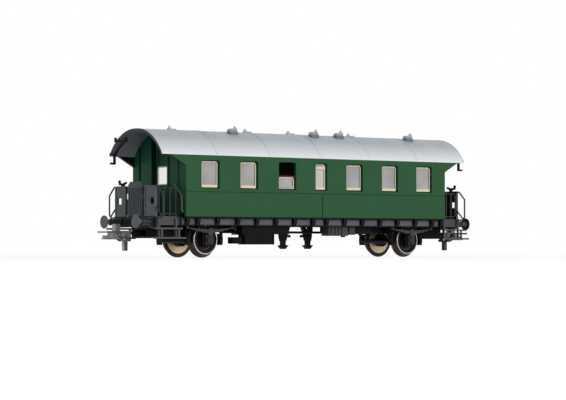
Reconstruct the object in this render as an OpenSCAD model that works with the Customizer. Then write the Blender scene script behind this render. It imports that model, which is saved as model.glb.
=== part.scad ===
// Two-axle open-platform passenger coach, 1:87 scale model for 16.5 mm track.
// The coach stands on its wheel flanges at Z = 0, runs along X and is centred on the origin.
// Seen from above, most fittings repeat after half a turn about Z.

/* [Main sizes] */
// Length over the buffer faces
buffer_length = 160; // [156:1:166]
// Distance between the two axles
wheelbase = 97.7; // [94:0.1:100]
// Length of the closed body without the platforms
body_length = 125; // [123:0.5:127]
// Width of the body over its side walls
body_width = 33.8; // [33.4:0.1:34]
// Height of the body's lower edge above the flanges
body_bottom = 14.85; // [14.6:0.05:15]
// Height of the eaves
eave_z = 37.05; // [36.5:0.05:37.5]
// Wall thickness of the body moulding
wall = 1.2; // [1:0.1:1.4]

/* [Roof] */
// Length of the roof over both platforms
roof_length = 146; // [144:0.5:148]
// Radius of the roof arch
roof_radius = 18.5; // [18.5:0.1:19]
// Half width of the flat crown between the two arcs
roof_crown = 0.66; // [0.5:0.02:0.8]
// Thickness of the roof moulding
roof_wall = 0.9; // [0.7:0.1:1.1]
// Distance between the sheet seams
seam_pitch = 24.2; // [23:0.1:25]

/* [Windows] */
// Width of a compartment window opening
window_w = 8.1; // [7.8:0.1:8.4]
// Width of the middle window opening
small_window_w = 5.6; // [5.2:0.1:6]
// Height of the window openings
window_h = 10.3; // [9.8:0.1:10.6]
// Height of the window sills
window_z = 25; // [24.8:0.1:25.3]
// Centres of the windows on one side of the middle window
window_x = [16.25, 34, 51.6]; // [14:0.05:54]

/* [Running gear] */
// Radius of the wheel tread
tread_r = 5.5; // [5:0.1:5.8]
// Depth of the wheel flange
flange_h = 1; // [0.8:0.1:1.1]
// Distance between the backs of the two wheels of an axle
back_to_back = 14.4; // [14.2:0.1:14.5]
// Width of a wheel
wheel_w = 2.8; // [2.4:0.1:2.9]
// Radius of the axle
axle_r = 1; // [0.9:0.05:1.1]
// Radial play of turning pieces
play = 0.08; // [0.05:0.01:0.1]

/* [Couplings] */
// Distance of the drawbar pivot from the coach's middle
drawbar_pivot_x = 60; // [59.8:0.1:60.4]
// Reach of the loop from the coach's middle
coupler_reach = 87.2; // [86.6:0.1:88]

/* [Hidden] */
$fn = 48;
half_body = body_length / 2;
side_y = body_width / 2;
half_roof = roof_length / 2;
ridge_z = 46.7;
arch_z = ridge_z - roof_radius;
axle_x = wheelbase / 2;
axle_z = tread_r + flange_h;
buffer_x = buffer_length / 2;
buffer_y = 10.06;
buffer_z = 12.95;
sole_bottom = 11.6;
sole_y = 14.6;
floor_z = 13.4;
deck_top = 14.9;
deck_y = 13.2;
headstock_x = 73;
headstock_t = 1.6;
belt_z = 23.6;
gap = 0.05;

body_green = [0.20, 0.36, 0.25];
roof_grey = [0.76, 0.79, 0.82];
frame_black = [0.11, 0.11, 0.12];
frame_grey = [0.32, 0.33, 0.35];
cream = [0.91, 0.87, 0.73];
pane_grey = [0.70, 0.69, 0.70];
seat_brown = [0.42, 0.30, 0.20];
steel = [0.62, 0.63, 0.65];
brass_tone = [0.75, 0.60, 0.32];

// Draws its children here and again turned half round the coach's upright axis
module half_turn() {
    children();
    rotate([0, 0, 180]) children();
}

// Draws its children and their mirror image on the other side of the coach
module both_sides() {
    children();
    mirror([0, 1, 0]) children();
}

// Box between two opposite corners
module block(low, high) {
    translate(low) cube([high.x - low.x, high.y - low.y, high.z - low.z]);
}

// Round bar between two points
module bar(from, to, r) {
    run = to - from;
    length = norm(run);
    translate(from)
        rotate([0, acos(run.z / length), atan2(run.y, run.x)])
            cylinder(r = r, h = length, $fn = 36);
}

// Wire bent through a row of points, with a ball in each bend
module wire(points, r) {
    for (i = [0 : len(points) - 2]) bar(points[i], points[i + 1], r);
    for (i = [1 : len(points) - 2]) translate(points[i]) sphere(r = r, $fn = 36);
}

// Upright rectangle with round upper corners, standing on the X axis
module round_top(w, h, r) {
    translate([-w / 2, 0]) square([w, h - r]);
    translate([-w / 2 + r, 0]) square([w - 2 * r, h]);
    for (side = [-1, 1]) translate([side * (w / 2 - r), h - r]) circle(r = r, $fn = 24);
}

// Lays a flat outline drawn in X and Z as a plate facing the near side, from y on inwards
module facing_near(y, t) {
    translate([0, y + t, 0]) rotate([90, 0, 0]) linear_extrude(t) children();
}

// Lays a flat outline drawn in Y and Z as a plate across the coach, from x to x + t
module across(x, t) {
    translate([x, 0, 0]) rotate([90, 0, 90]) linear_extrude(t) children();
}

// Roof arch drawn in Y and Z, shrunk by inset, from base upwards
module roof_arch(inset, base) {
    r = roof_radius - inset;
    intersection() {
        union() {
            for (side = [-1, 1]) translate([side * roof_crown, arch_z]) circle(r = r, $fn = 96);
            translate([-roof_crown, base]) square([2 * roof_crown, arch_z + r - base]);
        }
        translate([-side_y - 1, base]) square([body_width + 2, ridge_z]);
    }
}

roof_seat = roof_wall + gap;
door_half = 4.9;
door_depth = 2;
door_top = 43.5;
groove_y = 12.25;
corner_r = 0.9;
gusset_x = 69.4;
gusset_z = 33.2;

// Outline of a side wall with its window openings and the brackets under the roof ends
module side_outline() {
    difference() {
        union() {
            translate([-half_body, body_bottom]) square([body_length, eave_z - body_bottom]);
            polygon([[-half_body, gusset_z], [-gusset_x, eave_z], [gusset_x, eave_z], [half_body, gusset_z]]);
        }
        translate([0, window_z]) round_top(small_window_w, window_h, corner_r);
        for (x = window_x, side = [-1, 1])
            translate([side * x, window_z]) round_top(window_w, window_h, corner_r);
    }
}

// Near side wall with its belt groove and panel joints cut into the outside
module side_wall() {
    groove = 0.45;
    joint_w = 0.35;
    joint_x = 0.4;
    difference() {
        facing_near(-side_y, wall) side_outline();
        block([-half_body - 1, -side_y - 1, belt_z], [half_body + 1, -side_y + groove, belt_z + joint_w]);
        block([joint_x, -side_y - 1, body_bottom - 1], [joint_x + joint_w, -side_y + groove, belt_z]);
    }
}

// Flat part of the right end wall under the roof arch, with the door opening and two upright joints
module end_plate() {
    joint_w = 1.2;
    joint = 0.5;
    inner_y = side_y - wall;
    difference() {
        across(half_body - wall, wall)
            intersection() {
                roof_arch(roof_seat, body_bottom);
                translate([-inner_y, body_bottom]) square([2 * inner_y, ridge_z]);
            }
        block([half_body - wall - 1, -door_half, body_bottom - 1], [half_body + 1, door_half, door_top]);
        for (side = [-1, 1])
            translate([half_body - joint, side * groove_y - joint_w / 2, body_bottom - 1])
                cube([joint + 1, joint_w, ridge_z]);
    }
}

// Right end wall with the walls of its door recess and the slot beside them
module end_wall() {
    recess_x = half_body - door_depth - wall;
    slot = [0.9, 1.5];
    slot_y = 5.3;
    slot_top = 36.5;
    difference() {
        union() {
            end_plate();
            both_sides()
                block([recess_x, door_half, body_bottom], [half_body, door_half + wall, door_top + wall]);
            block([recess_x, -door_half, door_top], [half_body, door_half, door_top + wall]);
        }
        block([half_body - slot.x, slot_y, body_bottom - 1], [half_body + 1, slot_y + slot.y, slot_top]);
    }
}

// Hollow body moulding, open below and above
module body_shell() {
    color(body_green) {
        both_sides() side_wall();
        half_turn() end_wall();
    }
}

// Silver roof with sheet seams, a drip edge and four tongues that clip inside the side walls
module roof() {
    seam_w = 0.4;
    seam_h = 0.06;
    edge_h = 0.5;
    tongue = [5, 0.8, 3.4];
    tongue_x = 25.1;
    tongue_y = side_y - wall - 1.9;
    tongue_drop = 0.6;
    color(roof_grey) {
        difference() {
            union() {
                across(-half_roof, roof_length) roof_arch(0, eave_z);
                for (i = [-2 : 2])
                    across(i * seam_pitch - seam_w / 2, seam_w) roof_arch(-seam_h, eave_z + edge_h);
                for (side = [-1, 1])
                    across(side * (half_roof - seam_w / 2) - seam_w / 2, seam_w)
                        roof_arch(-seam_h, eave_z + edge_h);
            }
            across(-half_roof - 1, roof_length + 2) roof_arch(roof_wall, eave_z - 1);
        }
        for (x = [-tongue_x, tongue_x], side = [-1, 1])
            translate([x - tongue.x / 2, side * tongue_y - tongue.y / 2, eave_z - tongue_drop]) cube(tongue);
    }
}

vent_y = 6.8;
near_vent_x = [-34.2, 4.4, 16.7, 52.1];
far_vent_x = [-52.2, -17.1, 3.7, 33.8];

// Two-lobed ventilator: a low hood, a taller round cowl with a knob, and the foot that follows the roof
module vent() {
    foot = [3.6, 2.2, 2];
    foot_drop = 0.9;
    hood_r = 1.15;
    hood_x = -0.75;
    hood_w = foot.y - 0.2;
    cowl_r = 1;
    cowl_x = 1;
    cowl_z = 1.8;
    knob = [0.35, 0.75];
    translate([-foot.x / 2, -foot.y / 2, -foot_drop]) cube(foot);
    translate([hood_x, hood_w / 2, hood_r]) rotate([90, 0, 0]) cylinder(r = hood_r, h = hood_w);
    translate([cowl_x, 0, 0]) cylinder(r = cowl_r, h = cowl_z);
    translate([cowl_x, 0, cowl_z]) sphere(r = cowl_r);
    translate([cowl_x, 0, cowl_z + cowl_r - 0.3]) cylinder(r = knob.x, h = knob.y);
}

// Eight ventilators in two rows, cut off below by the roof
module roof_vents() {
    vent_z = 45.35;
    color(roof_grey)
        difference() {
            union() {
                for (x = near_vent_x) translate([x, -vent_y, vent_z]) vent();
                for (x = far_vent_x) translate([x, vent_y, vent_z]) rotate([0, 0, 180]) vent();
            }
            across(-half_roof, roof_length) roof_arch(-gap / 5, eave_z);
        }
}

// Strip on the right roof end that follows the arch and turns outwards at its foot
module roof_hook(t, bend_z, top_z) {
    strip_w = 0.85;
    strip_r = roof_radius - 3.4;
    foot_z = 34;
    foot = 2.1;
    tab_y = 15.8;
    strip_y = -roof_crown - sqrt(pow(strip_r, 2) - pow(bend_z - arch_z, 2));
    across(half_roof, t) {
        intersection() {
            translate([-roof_crown, arch_z])
                difference() {
                    circle(r = strip_r + strip_w / 2, $fn = 96);
                    circle(r = strip_r - strip_w / 2, $fn = 96);
                }
            translate([-side_y, bend_z]) square([side_y, top_z - bend_z]);
        }
        translate([strip_y - strip_w / 2, foot_z]) square([strip_w, bend_z - foot_z + 0.3]);
        translate([-tab_y, bend_z + 0.6]) square([tab_y + strip_y + 0.6, t]);
    }
    block([half_roof + t, strip_y - strip_w / 2, foot_z],
        [half_roof + foot, strip_y + strip_w / 2, foot_z + t]);
}

// Lamp irons: a hooked strip on each roof end and a forked cross bar, both cross bars on the far side
module lamp_brackets() {
    t = 0.7;
    cross = [7.6, 0.9];
    cross_y = -12.6;
    cross_z = 42.1;
    prong = [0.8, 1.7];
    color(frame_black) {
        half_turn() roof_hook(t, 37, cross_z + cross.y / 2);
        for (side = [0, 1])
            mirror([side, 0, 0])
                mirror([0, 1, 0])
                    across(half_roof, t) {
                        translate([cross_y, cross_z]) square(cross);
                        for (y = [cross_y, cross_y + cross.x - prong.x])
                            translate([y, cross_z]) square(prong);
                    }
    }
}

pane_y = side_y - wall;
pane_t = 0.6;
frame_depth = 0.35;
flange_t = 0.2;
frame_inset = 0.45;
frame_border = 0.36;
sill_h = 0.95;
sash_drop = 5.1;
flap_h = 1.4;
flap_slot = 0.28;
lowered_x = -window_x[0];

// Opening of a window frame of width w, over its sill; drop lowers its head and flap fills the top
module frame_hole(w, drop, flap) {
    border = frame_inset + frame_border;
    translate([0, frame_inset + sill_h])
        round_top(w - 2 * border, window_h - drop - border - frame_inset - sill_h - flap, corner_r / 3);
}

// Outline of the raised rim of a window frame, with a slot over its flap
module frame_rim(w, drop, flap) {
    border = frame_inset + frame_border;
    difference() {
        translate([0, frame_inset])
            round_top(w - 2 * frame_inset, window_h - 2 * frame_inset - drop, corner_r);
        frame_hole(w, drop, flap);
        if (flap > 0)
            translate([border - w / 2, window_h - border - flap_slot]) square([w - 2 * border, flap_slot]);
    }
}

// Window frame of width w: a thin flange that fills the opening and a narrower raised rim with its sill
module window_frame(w, drop = 0, flap = 0) {
    facing_near(-pane_y - flange_t, flange_t)
        difference() {
            translate([0, gap]) round_top(w - 2 * gap, window_h - 2 * gap - drop, corner_r - gap);
            frame_hole(w, drop, flap);
        }
    facing_near(-pane_y - frame_depth, frame_depth - flange_t) frame_rim(w, drop, flap);
}

// Seven window frames of the near side, seated on the glazing; one sash may be lowered
module frames_of_side(lowered) {
    color(cream)
        translate([0, 0, window_z]) {
            window_frame(small_window_w, flap = flap_h);
            for (x = window_x, side = [-1, 1])
                translate([side * x, 0, 0])
                    window_frame(window_w, drop = lowered && side * x == lowered_x ? sash_drop : 0);
        }
}

module window_frames_near() {
    frames_of_side(true);
}

module window_frames_far() {
    rotate([0, 0, 180]) frames_of_side(false);
}

// Clear strip behind the near side wall, open above a lowered sash
module glazing_of_side(lowered) {
    strip_x = 57.5;
    margin = 1.2;
    cut_w = window_w + 2 * margin;
    low = window_z - margin;
    high = window_z + window_h + margin;
    color(pane_grey)
        difference() {
            block([-strip_x, -pane_y, low], [strip_x, -pane_y + pane_t, high]);
            if (lowered)
                translate([lowered_x - cut_w / 2, -pane_y - 1, window_z + window_h - sash_drop])
                    cube([cut_w, pane_t + 2, sash_drop]);
        }
}

module glazing_near() {
    glazing_of_side(true);
}

module glazing_far() {
    rotate([0, 0, 180]) glazing_of_side(false);
}

door_x = half_body - door_depth;
door_t = 1;
door_window = [7, 6.8];
door_window_z = 26.5;
door_w = 2 * door_half - 2 * gap;

// Sliding door leaf in each end recess, with its window opening and two sunk panels
module end_doors() {
    panel = 0.25;
    panel_y = 3.4;
    low_panel = [body_bottom + 1.4, door_window_z - 1.6];
    high_panel = [door_window_z + 8.2, door_top - 1.2];
    color(body_green)
        half_turn()
            difference() {
                across(door_x - door_t, door_t)
                    difference() {
                        translate([-door_w / 2, body_bottom])
                            square([door_w, door_top - body_bottom - gap]);
                        translate([0, door_window_z]) round_top(door_window.x, door_window.y, corner_r);
                    }
                for (z = [low_panel, high_panel])
                    block([door_x - panel, -panel_y, z[0]], [door_x + 1, panel_y, z[1]]);
            }
}

// Light ring set into each door window, with its sill
module door_window_frames() {
    color(cream)
        half_turn()
            across(door_x - door_t + pane_t, door_t - pane_t + 0.2)
                translate([0, door_window_z + gap])
                    difference() {
                        round_top(door_window.x - 2 * gap, door_window.y - 2 * gap, corner_r - gap);
                        translate([0, frame_border])
                            round_top(door_window.x - 2 * frame_border, door_window.y - 2.4 * frame_border,
                                corner_r / 2);
                    }
}

// Pane behind each door window ring, standing in the opening
module door_panes() {
    color(pane_grey)
        half_turn()
            across(door_x - door_t, pane_t)
                translate([0, door_window_z])
                    round_top(door_window.x - 2 * gap, door_window.y - gap, corner_r);
}

seat_floor = 15.6;
seat_pitch = 8.75;
bench = [5, 10.4, 3.4];
bench_back_h = 9.5;
aisle = 3.2;

// Bench back with a seat on each side of it, drawn at the near side of the aisle
module bench_pair() {
    translate([-bench.x / 2, -aisle - bench.y, 0]) cube(bench);
    translate([0, -aisle, 0])
        rotate([90, 0, 0])
            linear_extrude(bench.y)
                polygon([[-0.9, 0], [-0.45, bench_back_h], [0.45, bench_back_h], [0.9, 0]]);
}

// Interior moulding: a floor with rows of benches on both sides of the aisle
module seat_insert() {
    floor_x = 58;
    floor_y = 14.2;
    floor_t = 0.8;
    color(seat_brown) {
        block([-floor_x, -floor_y, seat_floor], [floor_x, floor_y, seat_floor + floor_t]);
        for (i = [1 : 6], side = [-1, 1])
            both_sides()
                translate([side * (seat_pitch * i), 0, seat_floor + floor_t]) bench_pair();
    }
}

ballast = [100, 20, 1.2];

// Steel weight lying in the pocket of the floor
module ballast_plate() {
    color(steel)
        translate([-ballast.x / 2, -ballast.y / 2, seat_floor - ballast.z]) cube(ballast);
}

ledge_z = 14.35;
ledge_y = 16.2;
spine_y = 12.4;
screw_x = 54;
screw_r = 1;

// Floor of the coach: a ledge that carries the body, a tongue inside it and a spine below
module floor_pan() {
    tongue_x = 59.2;
    color(frame_black)
        difference() {
            union() {
                block([-half_body, -ledge_y, ledge_z], [half_body, ledge_y, body_bottom]);
                block([-tongue_x, -pane_y + gap, body_bottom], [tongue_x, pane_y - gap, seat_floor]);
                block([-half_body, -spine_y, floor_z], [half_body, spine_y, ledge_z]);
            }
            translate([-ballast.x / 2 - gap, -ballast.y / 2 - gap, seat_floor - ballast.z])
                cube([ballast.x + 2 * gap, ballast.y + 2 * gap, ballast.z + 1]);
            for (side = [-1, 1])
                translate([side * screw_x, 0, floor_z - 1]) cylinder(r = screw_r + gap, h = 4);
        }
}

sole_web = 0.9;
console_x = [3.25, 12.1, 20.95, 29.8, 38.6, 47.8, 56.6, 61.3];
console_t = 1.5;
console_lead = 0.35;
console_reach = 1.55;

// Bracket plate under the body edge, tapering down to the solebar
module console(x) {
    depth = sole_y + console_reach;
    translate([x - console_lead, 0, 0])
        rotate([90, 0, 90])
            linear_extrude(console_t)
                polygon([[-sole_y, sole_bottom], [-sole_y - 0.7, sole_bottom], [-depth, ledge_z - 1],
                    [-depth, ledge_z], [-sole_y, ledge_z]]);
}

// Solebar of the near side: a web with top and bottom flanges and a row of body brackets
module solebar() {
    flange = 0.5;
    inner_y = -sole_y + sole_web;
    color(frame_grey) {
        block([-half_body, -sole_y, sole_bottom], [half_body, inner_y, ledge_z]);
        block([-half_body, -sole_y - flange, sole_bottom], [half_body, -sole_y, sole_bottom + 0.4]);
        for (x = console_x, side = [-1, 1]) console(side * x);
    }
}

module solebar_near() {
    solebar();
}

module solebar_far() {
    rotate([0, 0, 180]) solebar();
}

headstock_y = 13.5;
headstock_low = 11;
headstock_top = 15;
headstock_back = headstock_x - headstock_t;

// Buffer beams across both ends, with a shallow sunk field round the coupling
module headstocks() {
    field_y = 6;
    field_depth = 0.3;
    field_low = headstock_low + 0.6;
    field_top = headstock_top - 1.6;
    color(frame_grey)
        half_turn()
            difference() {
                block([headstock_back, -headstock_y, headstock_low],
                    [headstock_x, headstock_y, headstock_top]);
                block([headstock_x - field_depth, -field_y, field_low],
                    [headstock_x + 1, field_y, field_top]);
            }
}

// Inner longitudinal sills beside the wheels and a cross member behind each coupling
module inner_sills() {
    sill_y = 6;
    sill_t = 0.8;
    sill_low = 9.3;
    from_x = 33;
    to_x = 55.6;
    cross_end = pocket_x - 0.1;
    cross_y = 7.4;
    color(frame_black)
        half_turn() {
            both_sides()
                block([from_x, sill_y - sill_t / 2, sill_low], [to_x, sill_y + sill_t / 2, floor_z]);
            block([to_x + 0.3, -cross_y, pocket_low], [cross_end, cross_y, floor_z]);
        }
}

// Platform at the right end: a ribbed deck on two side sills and a middle sill
module platform() {
    deck_t = 1.2;
    sill_t = 0.8;
    sill_low = 11.7;
    tread_w = 0.4;
    tread_h = 0.15;
    tread_y = 9;
    tread_pitch = 1.15;
    first_tread = half_body + 0.9;
    color(frame_black) {
        block([half_body, -deck_y, deck_top - deck_t], [headstock_back, deck_y, deck_top]);
        both_sides()
            block([half_body, deck_y - sill_t, sill_low], [headstock_back, deck_y, deck_top - deck_t]);
        for (i = [0 : 6])
            translate([first_tread + i * tread_pitch, -tread_y, deck_top])
                cube([tread_w, 2 * tread_y, tread_h]);
    }
}

module platform_right() {
    platform();
}

module platform_left() {
    rotate([0, 0, 180]) platform();
}

rail_x = 72.3;
rail_t = 0.7;
rail_inner = 6.05;
rail_outer = 12.85;
rail_top = 26;
rail_hole = [8.7, 11.7, 19.4, 21.6];

// One sheet panel of the end railing with its window, a raised rim and two ribs
module end_panel() {
    rim = 0.5;
    rim_t = 0.2;
    width = rail_outer - rail_inner;
    height = rail_top - headstock_top;
    across(rail_x, rail_t)
        difference() {
            translate([rail_inner, headstock_top]) square([width, height]);
            translate([rail_hole[0], rail_hole[2]])
                square([rail_hole[1] - rail_hole[0], rail_hole[3] - rail_hole[2]]);
        }
    across(rail_x + rail_t, rim_t)
        difference() {
            translate([rail_inner, headstock_top]) square([width, height]);
            translate([rail_inner + rim, headstock_top + rim]) square([width - 2 * rim, height - 2 * rim]);
        }
}

// Both panels at the right end
module end_railing() {
    color(frame_grey) both_sides() end_panel();
}

module end_railing_right() {
    end_railing();
}

module end_railing_left() {
    rotate([0, 0, 180]) end_railing();
}

gangway_half = 4.4;
gangway_top = 27.5;

// Gangway plate between the panels of each end railing: chamfered top, upright ribs, straps and hinges
module gangway_plates() {
    plate_x = rail_x + 0.25;
    t = 0.6;
    chamfer = 1.3;
    rib = [0.35, 0.5];
    rib_pitch = 1.2;
    rib_low = headstock_top + 1.1;
    rib_top = gangway_top - 2.2;
    straps = [[headstock_top + 0.2, 21.2], [23.2, 25.8]];
    hinge_r = 0.5;
    hinge_w = 1.8;
    hinge_y = 3.2;
    front = plate_x + t;
    color(frame_grey)
        half_turn() {
            across(plate_x, t)
                polygon([[-gangway_half, headstock_top], [gangway_half, headstock_top],
                    [gangway_half, gangway_top - chamfer], [gangway_half - chamfer, gangway_top],
                    [chamfer - gangway_half, gangway_top], [-gangway_half, gangway_top - chamfer]]);
            for (i = [-3 : 3])
                block([front, i * rib_pitch - rib.y / 2, rib_low],
                    [front + rib.x, i * rib_pitch + rib.y / 2, rib_top]);
            both_sides() {
                for (z = straps) block([plate_x, gangway_half, z[0]], [plate_x + 0.4, rail_inner, z[1]]);
                translate([front, hinge_y - hinge_w / 2, headstock_top + hinge_r])
                    rotate([-90, 0, 0]) cylinder(r = hinge_r, h = hinge_w);
            }
        }
}

gate_y = 12.85;
gate_r = 0.24;

// Gate across each platform entrance: a round-cornered tube frame with upright bars
module side_gates() {
    inner_x = 64.2;
    outer_x = 71.6;
    low = 15.8;
    top = 25;
    corner = 0.9;
    color(frame_grey)
        half_turn()
            both_sides() {
                wire([[inner_x, -gate_y, deck_top], [inner_x, -gate_y, top], [outer_x - corner, -gate_y, top],
                    [outer_x, -gate_y, top - corner], [outer_x, -gate_y, low + corner],
                    [outer_x - corner, -gate_y, low], [inner_x, -gate_y, low]], gate_r);
                for (x = [66.8, 69.3]) bar([x, -gate_y, deck_top], [x, -gate_y, top], gate_r);
            }
}

// Flared grab rail beside each end railing panel, with a brace back to the panel
module corner_handrails() {
    r = 0.3;
    x = rail_x + rail_t / 2;
    flare_y = -17.2;
    color(frame_black)
        half_turn()
            both_sides()
                difference() {
                    union() {
                        wire([[x, -rail_outer, 25.6], [x, -14.1, 25.6], [x, flare_y, 22.6],
                            [x, flare_y, 15.6], [x, flare_y + 1.1, 14.5], [x, -headstock_y, 14.5]], r);
                        bar([x, flare_y + 0.8, 14.9], [x, -rail_outer + 0.5, 18.6], r);
                    }
                    block([x - 1, -rail_outer, headstock_top], [x + 1, 0, rail_top]);
                }
}

// Sloping grab rail on the end wall beside each entrance
module entrance_handrails() {
    r = 0.28;
    x = half_body + 0.75;
    color(frame_grey)
        half_turn()
            both_sides()
                wire([[half_body, -10.9, 26.3], [x, -10.9, 26.3], [x, -15.1, 22.6], [x, -15.6, 16.6],
                    [half_body, -15.6, 16.6]], r);
}

column = [70.3, -11.8];
column_top = 26.1;

// Hand brake column on the deck with a foot and a collar
module brake_columns() {
    color(frame_black)
        half_turn()
            translate([column.x, column.y, deck_top]) {
                cylinder(r = 0.6, h = column_top - deck_top);
                cylinder(r = 1, h = 0.6);
                translate([0, 0, 8.6]) cylinder(r = 0.85, h = 0.8);
            }
}

// Crank on each brake column: a hub with two arms, one of them turned up as a grip
module brake_cranks() {
    arm = 0.7;
    color(frame_black)
        half_turn()
            translate([column.x, column.y, column_top]) {
                cylinder(r = 0.75, h = 1);
                translate([-arm / 2, 0, 0])
                    rotate([90, 0, 90])
                        linear_extrude(arm)
                            polygon([[0, 0.2], [2.2, 0.9], [2.1, 1.6], [0, 1], [-1.8, 1.2], [-2, 2.2],
                                [-2.7, 2.1], [-2.4, 0.5]]);
            }
}

// Two-tread boarding steps on both sides of the right platform, on an inner and an outer hanger
module steps() {
    hanger_w = 0.7;
    hanger_x = [64.7, 72.2];
    hanger_in = [0, -0.3];
    hanger_out = -0.8;
    hanger_top = 14.2;
    tread_t = 0.35;
    tread_in = -0.3;
    high_tread = [63.2, 75, 10.5, -2.6];
    low_tread = [61.9, 76, 7.1, -3];
    lip = [0.4, 0.3];
    color(frame_grey)
        both_sides()
            translate([0, -deck_y, 0]) {
                for (i = [0, 1]) {
                    left = hanger_x[i] - hanger_w / 2;
                    right = hanger_x[i] + hanger_w / 2;
                    block([left, hanger_out, low_tread[2]], [right, hanger_in[i], hanger_top]);
                    block([left, high_tread[3], low_tread[2]], [right, high_tread[3] + lip.x, high_tread[2]]);
                }
                for (step = [high_tread, low_tread]) {
                    block([step[0], step[3], step[2]], [step[1], tread_in, step[2] + tread_t]);
                    block([step[0], step[3], step[2] - lip.y], [step[1], step[3] + lip.x, step[2]]);
                }
            }
}

module steps_right() {
    steps();
}

module steps_left() {
    rotate([0, 0, 180]) steps();
}

housing_end = 77.3;
housing_back = 74.2;
shank_r = 0.75;

// Places its children on the four buffer axes, pointing outwards
module at_buffers() {
    half_turn()
        both_sides()
            translate([0, buffer_y, buffer_z]) rotate([0, 90, 0]) children();
}

// Buffer housing: square base, tapering tube and front collar, bored for the shank
module buffer_housings() {
    base = [3, 3, 0.5];
    root_r = 1.3;
    tube_r = 1.1;
    collar_r = 1.25;
    collar = 0.6;
    length = housing_end - headstock_x;
    color(frame_grey)
        at_buffers()
            difference() {
                union() {
                    translate([-base.x / 2, -base.y / 2, headstock_x]) cube(base);
                    translate([0, 0, headstock_x]) cylinder(r1 = root_r, r2 = tube_r, h = length);
                    translate([0, 0, housing_end - collar]) cylinder(r = collar_r, h = collar);
                }
                translate([0, 0, housing_back]) cylinder(r = shank_r + gap, h = housing_end);
            }
}

// Buffer head and shank, turned as one piece with a flat face and a bevelled rim
module buffer_heads() {
    head_r = 2.4;
    rim = 0.3;
    bevel = 0.15;
    neck = 0.5;
    neck_r = 1.3;
    head_back = buffer_x - rim - bevel;
    color(frame_grey)
        at_buffers() {
            translate([0, 0, housing_back]) cylinder(r = shank_r, h = head_back - housing_back);
            translate([0, 0, head_back - neck]) cylinder(r1 = shank_r, r2 = neck_r, h = neck);
            translate([0, 0, head_back]) cylinder(r = head_r, h = rim);
            translate([0, 0, head_back + rim]) cylinder(r1 = head_r, r2 = head_r - bevel, h = bevel);
        }
}

guard_y = 11.3;
guard_t = 0.6;
box_half = 1.7;
box_low = 4.8;
box_top = 8.1;
box_inner = 10.4;
box_outer = 12.6;
bearing_r = 1.3;
bearing_depth = 1.7;
journal_r = 0.8;

// Axle guard on both sides of the right axle: two legs, a tie below and a spreading plate above
module axle_guards() {
    leg = 0.8;
    leg_x = box_half + gap;
    foot_z = 4.2;
    plate_z = 9.4;
    plate_x = 5.4;
    color(frame_black)
        both_sides()
            facing_near(-guard_y - guard_t, guard_t)
                translate([axle_x, 0]) {
                    translate([-leg_x - leg, foot_z]) square([2 * (leg_x + leg), box_low - gap - foot_z]);
                    for (side = [0, 1])
                        mirror([side, 0]) {
                            translate([leg_x, foot_z]) square([leg, floor_z - foot_z]);
                            polygon([[leg_x, plate_z], [leg_x + leg, plate_z], [plate_x, floor_z],
                                [leg_x, floor_z]]);
                        }
                }
}

module axle_guards_right() {
    axle_guards();
}

module axle_guards_left() {
    rotate([0, 0, 180]) axle_guards();
}

spring_half = 10.4;
leaf_t = 0.3;
leaf_count = 4;
leaf_step = 2.2;
spring_z = 10.3;
spring_radius = 68;
spring_y = guard_y + guard_t + 0.1;
spring_w = 1;

// One curved leaf of the pack, the longest one uppermost
module leaf(i) {
    r = spring_radius + i * leaf_t;
    half = spring_half - i * leaf_step;
    intersection() {
        translate([0, spring_w, spring_z + spring_radius])
            rotate([90, 0, 0])
                difference() {
                    cylinder(r = r + leaf_t, h = spring_w, $fn = 240);
                    translate([0, 0, -1]) cylinder(r = r, h = spring_w + 2, $fn = 240);
                }
        block([-half, -1, 0], [half, spring_w + 1, floor_z]);
    }
}

// Leaf pack over each axlebox, with its buckle and the two shackles to the floor
module leaf_springs() {
    rise = spring_radius - sqrt(pow(spring_radius, 2) - pow(spring_half, 2));
    shackle_w = 0.7;
    shackle_low = spring_z + rise - 0.6;
    buckle = [1, 0.25, 0.3];
    color(frame_black)
        half_turn()
            both_sides()
                translate([axle_x, -spring_y - spring_w, 0]) {
                    for (i = [0 : leaf_count - 1]) leaf(i);
                    block([-buckle.x, -buckle.y, box_top], [buckle.x, spring_w, spring_z + buckle.z]);
                    for (side = [-1, 1])
                        translate([side * (spring_half - shackle_w / 2) - shackle_w / 2, 0, shackle_low])
                            cube([shackle_w, spring_w, floor_z - shackle_low]);
                }
}

// Axlebox in each guard: a body bored for its bearing and a round cover on the outside
module axleboxes() {
    cover_r = 1.35;
    cover_h = 0.5;
    color(frame_black)
        half_turn()
            both_sides()
                translate([axle_x, 0, 0])
                    difference() {
                        union() {
                            block([-box_half, -box_outer, box_low], [box_half, -box_inner, box_top]);
                            translate([0, -box_outer, axle_z])
                                rotate([90, 0, 0]) cylinder(r = cover_r, h = cover_h);
                        }
                        translate([0, 1 - box_inner, axle_z])
                            rotate([90, 0, 0]) cylinder(r = bearing_r, h = 1 + bearing_depth);
                    }
}

// Brass bearing bush in each axlebox
module axle_bearings() {
    cup = bearing_depth - 0.1;
    color(brass_tone)
        half_turn()
            both_sides()
                translate([axle_x, -box_inner, axle_z])
                    rotate([90, 0, 0])
                        difference() {
                            cylinder(r = bearing_r - 0.01, h = cup);
                            translate([0, 0, -1]) cylinder(r = journal_r + play, h = cup + 2);
                        }
}

shoe_in = 6.9;
shoe_out = 8.2;
shoe_y = 8.7;
shoe_w = 1.8;
shoe_part = [4, 4.2];
shoe_from = -1.9;

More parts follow.
